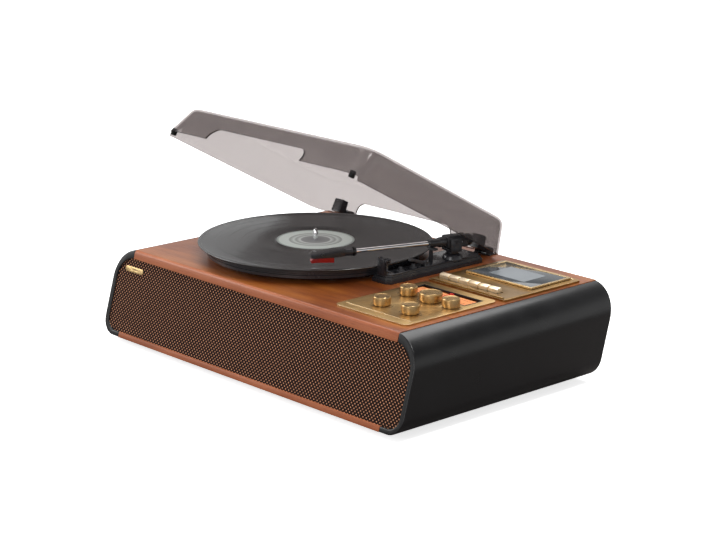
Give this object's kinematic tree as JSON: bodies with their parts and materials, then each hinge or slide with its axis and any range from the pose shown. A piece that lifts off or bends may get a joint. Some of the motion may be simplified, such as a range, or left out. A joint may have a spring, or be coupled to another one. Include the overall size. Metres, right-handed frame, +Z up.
{
  "type": "turntable record player",
  "caption": "Stereo record player in a leaning wooden cabinet with tonearm, smoked hinged lid, radio and amplifier knobs, and a top-loading cassette deck.",
  "frame": {"origin": "middle of the bounding box in plan, on the surface that the feet stand on", "axes": "+X to the right as seen from the front, +Y to the back, +Z up"},
  "size_m": [0.562, 0.368, 0.2947],
  "materials": {
    "veneer": "satin lacquered reddish brown veneer",
    "cap": "satin black moulded plastic",
    "hardboard": "raw hardboard",
    "cloth": "dark woven grille cloth with small cream dots",
    "badge": "polished",
    "base": "black enamel",
    "feet": "matt",
    "screws": "zinc plated",
    "basket": "pressed steel, grey",
    "cone": "black pulp paper",
    "circuit": "green circuit board",
    "black": "satin black moulded plastic",
    "motor": "zinc plated can",
    "bearing": "turned",
    "belt": "matt",
    "platter": "cast, black lacquer",
    "bright": "polished",
    "vinyl": "pressed grooved vinyl, plain label",
    "arm": "satin black",
    "cartridge": "red moulded plastic",
    "panel": "gold anodised, satin brushed",
    "knob": "gold anodised, turned",
    "dial": "orange printed acrylic",
    "pointer": "red acrylic",
    "key": "polished",
    "reel": "off-white moulded plastic",
    "window": "smoked acrylic",
    "lid": "smoked clear acrylic"
  },
  "bodies": {
    "cabinet": {"top_board": "veneer", "bottom_board": "veneer", "left_cap": "cap", "right_cap": "cap", "grille_board": "hardboard", "grille_cloth": "cloth", "badge": "badge", "back_panel": "hardboard", "base_plate": "base", "feet": "feet", "screws": "screws", "left_speaker": "basket", "left_cone": "cone", "right_speaker": "basket", "right_cone": "cone", "main_board": "circuit", "rear_jacks": "black", "motor": "motor", "drive_belt": "belt", "platter_bearing": "bearing", "arm_base": "black", "control_panel": "panel", "control_board": "circuit", "dial_scale": "dial", "tape_panel": "panel", "tape_deck": "black", "hinge_bases": "black"},
    "platter": {"platter": "platter", "spindle": "bright", "record": "vinyl"},
    "pulley": {"motor_pulley": "bearing"},
    "yoke": {"arm_yoke": "arm"},
    "arm": {"arm_cradle": "arm", "arm_tube": "bright", "counterweight": "arm", "headshell": "black", "cartridge": "cartridge"},
    "clip": {"rest_clip": "black"},
    "cue_lever": {"cue_lever": "black"},
    "cue_lift": {"cue_lift": "black"},
    "speed_switch": {"speed_switch": "black"},
    "stop_switch": {"stop_switch": "black"},
    "pointer": {"dial_pointer": "pointer"},
    "volume": {"volume_knob": "knob"},
    "bass": {"bass_knob": "knob"},
    "treble": {"treble_knob": "knob"},
    "source": {"source_knob": "knob"},
    "tuning": {"tuning_knob": "knob"},
    "record_button": {"record_key": "key"},
    "play_button": {"play_key": "key"},
    "rewind_button": {"rewind_key": "key"},
    "forward_button": {"forward_key": "key"},
    "stop_button": {"stop_key": "key"},
    "pause_button": {"pause_key": "key"},
    "left_reel": {"left_reel": "reel"},
    "right_reel": {"right_reel": "reel"},
    "door": {"cassette_door": "panel", "door_window": "window"},
    "lid": {"lid": "lid", "hinge_arms": "black"}
  },
  "joints": [
    {"name": "lid_hinge", "type": "hinge", "parent": "cabinet", "child": "lid", "pos_m": [0, 0.1733, 0.125], "axis": [-1, 0, 0], "range_deg": [-28.4, 27]},
    {"name": "platter_spin", "type": "hinge", "parent": "cabinet", "child": "platter", "pos_m": [-0.075, 0.007, 0.139], "axis": [0, 0, -1], "continuous": true},
    {"name": "pulley_spin", "type": "hinge", "parent": "cabinet", "child": "pulley", "pos_m": [-0.15467, 0.07385, 0.127], "axis": [0, 0, -1], "continuous": true},
    {"name": "arm_swing", "type": "hinge", "parent": "cabinet", "child": "yoke", "pos_m": [0.083, 0.097, 0.152], "axis": [0, 0, -1], "range_deg": [-12.4, 24.3]},
    {"name": "arm_tilt", "type": "hinge", "parent": "yoke", "child": "arm", "pos_m": [0.083, 0.097, 0.152], "axis": [0.9728, -0.2317, 0], "range_deg": [0, 1.25]},
    {"name": "cue_lever_turn", "type": "hinge", "parent": "cabinet", "child": "cue_lever", "pos_m": [0.086, 0.045, 0.133], "axis": [-1, 0, 0], "range_deg": [0, 60]},
    {"name": "cue_lift_slide", "type": "slide", "parent": "cabinet", "child": "cue_lift", "axis": [0, 0, -1], "range_m": [0, 0.00121]},
    {"name": "clip_turn", "type": "hinge", "parent": "cabinet", "child": "clip", "pos_m": [0.0896, -0.0235, 0.148], "axis": [0, -1, 0], "range_deg": [0, 178]},
    {"name": "speed_slide", "type": "slide", "parent": "cabinet", "child": "speed_switch", "axis": [0, 1, 0], "range_m": [-0.004, 0.004]},
    {"name": "stop_slide", "type": "slide", "parent": "cabinet", "child": "stop_switch", "axis": [0, 1, 0], "range_m": [-0.003, 0.003]},
    {"name": "volume_turn", "type": "hinge", "parent": "cabinet", "child": "volume", "pos_m": [0.146, -0.041, 0.125], "axis": [0, 0, -1], "range_deg": [-150, 150]},
    {"name": "bass_turn", "type": "hinge", "parent": "cabinet", "child": "bass", "pos_m": [0.157, -0.095, 0.125], "axis": [0, 0, -1], "range_deg": [-150, 150]},
    {"name": "treble_turn", "type": "hinge", "parent": "cabinet", "child": "treble", "pos_m": [0.2045, -0.095, 0.125], "axis": [0, 0, -1], "range_deg": [-150, 150]},
    {"name": "source_turn", "type": "hinge", "parent": "cabinet", "child": "source", "pos_m": [0.217, -0.041, 0.125], "axis": [0, 0, -1], "range_deg": [-60, 60]},
    {"name": "tuning_turn", "type": "hinge", "parent": "cabinet", "child": "tuning", "pos_m": [0.1837, -0.041, 0.125], "axis": [0, 0, -1], "range_deg": [-540, 540]},
    {"name": "pointer_slide", "type": "slide", "parent": "cabinet", "child": "pointer", "axis": [1, 0, 0], "range_m": [-0.0441, 0.0441]},
    {"name": "record_press", "type": "slide", "parent": "cabinet", "child": "record_button", "axis": [0, 0, -1], "range_m": [0, 0.0035], "stiffness_N_per_m": 250, "springref_m": -0.004},
    {"name": "play_press", "type": "slide", "parent": "cabinet", "child": "play_button", "axis": [0, 0, -1], "range_m": [0, 0.0035], "stiffness_N_per_m": 250, "springref_m": -0.004},
    {"name": "rewind_press", "type": "slide", "parent": "cabinet", "child": "rewind_button", "axis": [0, 0, -1], "range_m": [0, 0.0035], "stiffness_N_per_m": 250, "springref_m": -0.004},
    {"name": "forward_press", "type": "slide", "parent": "cabinet", "child": "forward_button", "axis": [0, 0, -1], "range_m": [0, 0.0035], "stiffness_N_per_m": 250, "springref_m": -0.004},
    {"name": "stop_press", "type": "slide", "parent": "cabinet", "child": "stop_button", "axis": [0, 0, -1], "range_m": [0, 0.0035], "stiffness_N_per_m": 250, "springref_m": -0.004},
    {"name": "pause_press", "type": "slide", "parent": "cabinet", "child": "pause_button", "axis": [0, 0, -1], "range_m": [0, 0.0035], "stiffness_N_per_m": 250, "springref_m": -0.004},
    {"name": "left_reel_spin", "type": "hinge", "parent": "cabinet", "child": "left_reel", "pos_m": [0.15425, 0.124, 0.11], "axis": [0, 0, 1], "continuous": true},
    {"name": "right_reel_spin", "type": "hinge", "parent": "cabinet", "child": "right_reel", "pos_m": [0.19675, 0.124, 0.11], "axis": [0, 0, 1], "continuous": true},
    {"name": "door_turn", "type": "hinge", "parent": "cabinet", "child": "door", "pos_m": [0.1755, 0.158, 0.1207], "axis": [-1, 0, 0], "range_deg": [0, 45]}
  ],
  "couplings": [
    {"joint": "pulley_spin", "follows": "platter_spin", "ratio": 11.429},
    {"joint": "cue_lift_slide", "follows": "arm_tilt", "m_per_rad": 0.055004},
    {"joint": "cue_lever_turn", "follows": "arm_tilt", "ratio": 47.9},
    {"joint": "pointer_slide", "follows": "tuning_turn", "m_per_rad": 0.0046685}
  ]
}
